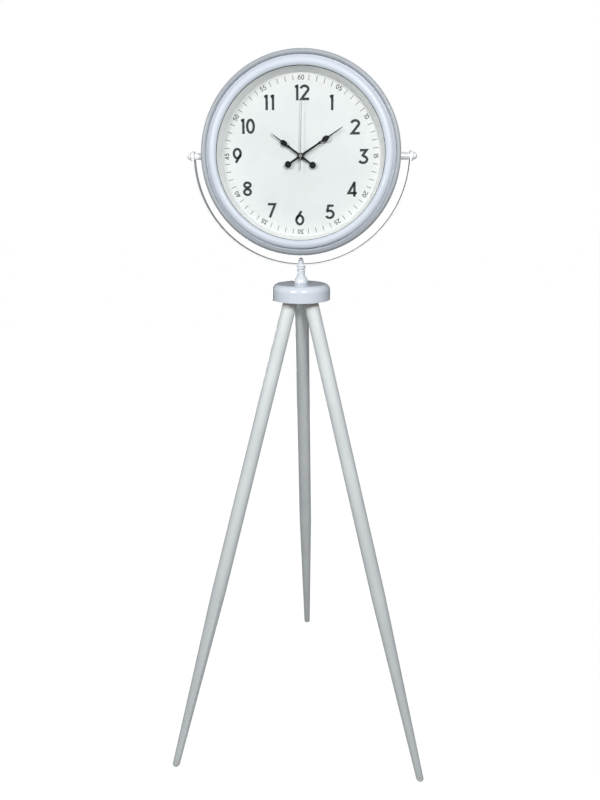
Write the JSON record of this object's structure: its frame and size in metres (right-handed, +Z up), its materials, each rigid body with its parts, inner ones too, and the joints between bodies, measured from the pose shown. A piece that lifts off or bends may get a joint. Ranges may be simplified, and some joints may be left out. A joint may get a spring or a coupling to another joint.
{
  "type": "tripod floor clock",
  "caption": "Round dial clock that tilts in a half-ring yoke, which swivels on a turned post over a hub with splayed tapered legs.",
  "frame": {"origin": "on the floor, at the centre of the bounding box of the whole clock", "axes": "+Z up, the dial faces -Y, +X to the right seen from the front"},
  "size_m": [0.564, 0.4906, 1.5532],
  "materials": {
    "white_wood": "satin white paint over turned wood",
    "bare_wood": "bare turned wood",
    "white_metal": "gloss white paint",
    "steel": "zinc plated",
    "brass": "turned",
    "glass": "clear, polished",
    "black_rubber": "matt",
    "white_plastic": "moulded",
    "printed_dial": "matt off-white print",
    "black_hand": "satin black",
    "grey_hand": "satin",
    "black_plastic": "moulded",
    "green_board": "lacquered board",
    "copper_coil": "wound enamelled wire",
    "magnet": "sintered",
    "battery_skin": "plain sleeve"
  },
  "bodies": {
    "stand": {"leg_left": "white_wood", "leg_right": "white_wood", "leg_rear": "white_wood", "leg_bolts": "steel", "leg_inserts": "brass", "hub_cap": "white_metal", "hub_core": "bare_wood", "mast_stud": "steel", "stud_nut": "steel", "stud_washer": "steel", "post": "white_metal", "swivel_washer": "white_plastic", "acorn_washer": "white_metal", "acorn_nut": "white_metal"},
    "yoke": {"yoke_collar": "white_metal", "yoke_strap": "white_metal"},
    "head": {"case_shell": "white_metal", "bezel_ring": "white_metal", "lens_gasket": "black_rubber", "glass_lens": "glass", "reflector_ring": "white_plastic", "dial_plate": "printed_dial", "back_cover": "white_metal", "back_cover_screws": "steel", "pivot_nuts": "steel", "spacer_left": "white_metal", "spacer_right": "white_metal", "movement_case": "black_plastic", "movement_cover": "black_plastic", "gear_plate": "steel", "circuit_board": "green_board", "coil": "copper_coil", "stator": "steel", "battery": "battery_skin", "contact_negative": "steel", "contact_positive": "steel", "rubber_washer": "black_rubber", "brass_washer": "brass", "mounting_nut": "brass"},
    "left_knob": {"tilt_knob_left": "white_metal"},
    "right_knob": {"tilt_knob_right": "white_metal"},
    "minute": {"minute_hand": "black_hand", "minute_arbor": "grey_hand"},
    "hour": {"hour_hand": "black_hand", "hour_wheel": "white_plastic"},
    "second": {"second_hand": "grey_hand", "seconds_wheel": "grey_hand"},
    "motion": {"motion_wheel": "white_plastic"},
    "setting": {"time_knob": "black_plastic"},
    "third": {"third_wheel": "white_plastic"},
    "centre": {"centre_wheel": "white_plastic"},
    "intermediate": {"intermediate_wheel": "white_plastic"},
    "stepper": {"rotor": "magnet"}
  },
  "joints": [
    {"name": "yoke_swivel", "type": "hinge", "parent": "stand", "child": "yoke", "pos_m": [0, -0.07925, 1.1149], "axis": [0, 0, 1], "continuous": true},
    {"name": "head_tilt", "type": "hinge", "parent": "yoke", "child": "head", "pos_m": [0, -0.07925, 1.3502], "axis": [1, 0, 0], "continuous": true},
    {"name": "left_knob_turn", "type": "hinge", "parent": "head", "child": "left_knob", "pos_m": [-0.2267, -0.07925, 1.3502], "axis": [-1, 0, 0], "range_deg": [0, 360]},
    {"name": "right_knob_turn", "type": "hinge", "parent": "head", "child": "right_knob", "pos_m": [0.2267, -0.07925, 1.3502], "axis": [1, 0, 0], "range_deg": [0, 360]},
    {"name": "minute_turn", "type": "hinge", "parent": "head", "child": "minute", "pos_m": [0, -0.07925, 1.3502], "axis": [0, 1, 0], "continuous": true},
    {"name": "hour_turn", "type": "hinge", "parent": "head", "child": "hour", "pos_m": [0, -0.07925, 1.3502], "axis": [0, 1, 0], "continuous": true},
    {"name": "motion_turn", "type": "hinge", "parent": "head", "child": "motion", "pos_m": [-0.01128, -0.07925, 1.3543], "axis": [0, 1, 0], "continuous": true},
    {"name": "setting_turn", "type": "hinge", "parent": "head", "child": "setting", "pos_m": [-0.02152, -0.07925, 1.34713], "axis": [0, 1, 0], "continuous": true},
    {"name": "second_turn", "type": "hinge", "parent": "head", "child": "second", "pos_m": [0, -0.07925, 1.3502], "axis": [0, 1, 0], "continuous": true},
    {"name": "third_turn", "type": "hinge", "parent": "head", "child": "third", "pos_m": [0.00764, -0.07925, 1.35784], "axis": [0, 1, 0], "continuous": true},
    {"name": "centre_turn", "type": "hinge", "parent": "head", "child": "centre", "pos_m": [0, -0.07925, 1.3502], "axis": [0, 1, 0], "continuous": true},
    {"name": "intermediate_turn", "type": "hinge", "parent": "head", "child": "intermediate", "pos_m": [-0.00543, -0.07925, 1.3596], "axis": [0, 1, 0], "continuous": true},
    {"name": "stepper_turn", "type": "hinge", "parent": "head", "child": "stepper", "pos_m": [-0.01348, -0.07925, 1.36425], "axis": [0, 1, 0], "continuous": true}
  ],
  "couplings": [
    {"joint": "hour_turn", "follows": "minute_turn", "ratio": 0.083333},
    {"joint": "motion_turn", "follows": "minute_turn", "ratio": -0.33333},
    {"joint": "setting_turn", "follows": "minute_turn", "ratio": 0.85714},
    {"joint": "third_turn", "follows": "second_turn", "ratio": -0.125},
    {"joint": "centre_turn", "follows": "second_turn", "ratio": 0.016667},
    {"joint": "intermediate_turn", "follows": "second_turn", "ratio": -6},
    {"joint": "stepper_turn", "follows": "second_turn", "ratio": 30}
  ]
}
